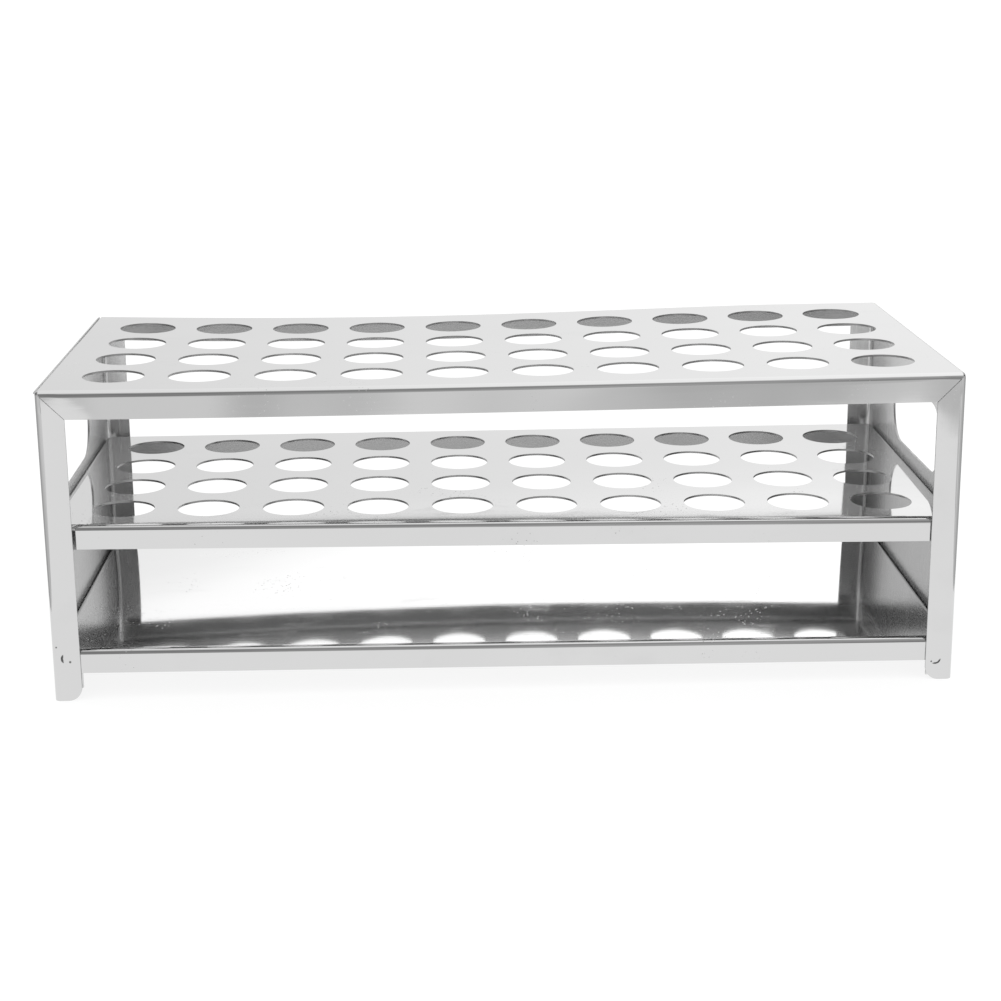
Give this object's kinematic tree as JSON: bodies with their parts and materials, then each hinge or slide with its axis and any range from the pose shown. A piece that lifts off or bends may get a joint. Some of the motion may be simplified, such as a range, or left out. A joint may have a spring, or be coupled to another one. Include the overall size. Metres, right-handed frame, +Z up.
{
  "type": "test tube rack",
  "caption": "Folded sheet-metal test tube rack: perforated deck and middle shelf, plain bottom shelf, end panels with inturned legs and oval hand cut-outs.",
  "frame": {"origin": "middle of the rack's footprint, at the level its feet stand on", "axes": "+X along the rack's length towards its right end, +Y towards its rear, +Z up"},
  "size_m": [0.261, 0.118, 0.0912],
  "materials": {
    "polished_stainless": "polished",
    "ground_weld": "ground"
  },
  "bodies": {
    "root": {"top_deck": "polished_stainless", "left_end_panel": "polished_stainless", "right_end_panel": "polished_stainless", "middle_shelf": "polished_stainless", "bottom_shelf": "polished_stainless", "left_corner_weld": "ground_weld", "right_corner_weld": "ground_weld", "middle_shelf_spot_welds": "ground_weld", "bottom_shelf_spot_welds": "ground_weld"}
  },
  "joints": []
}
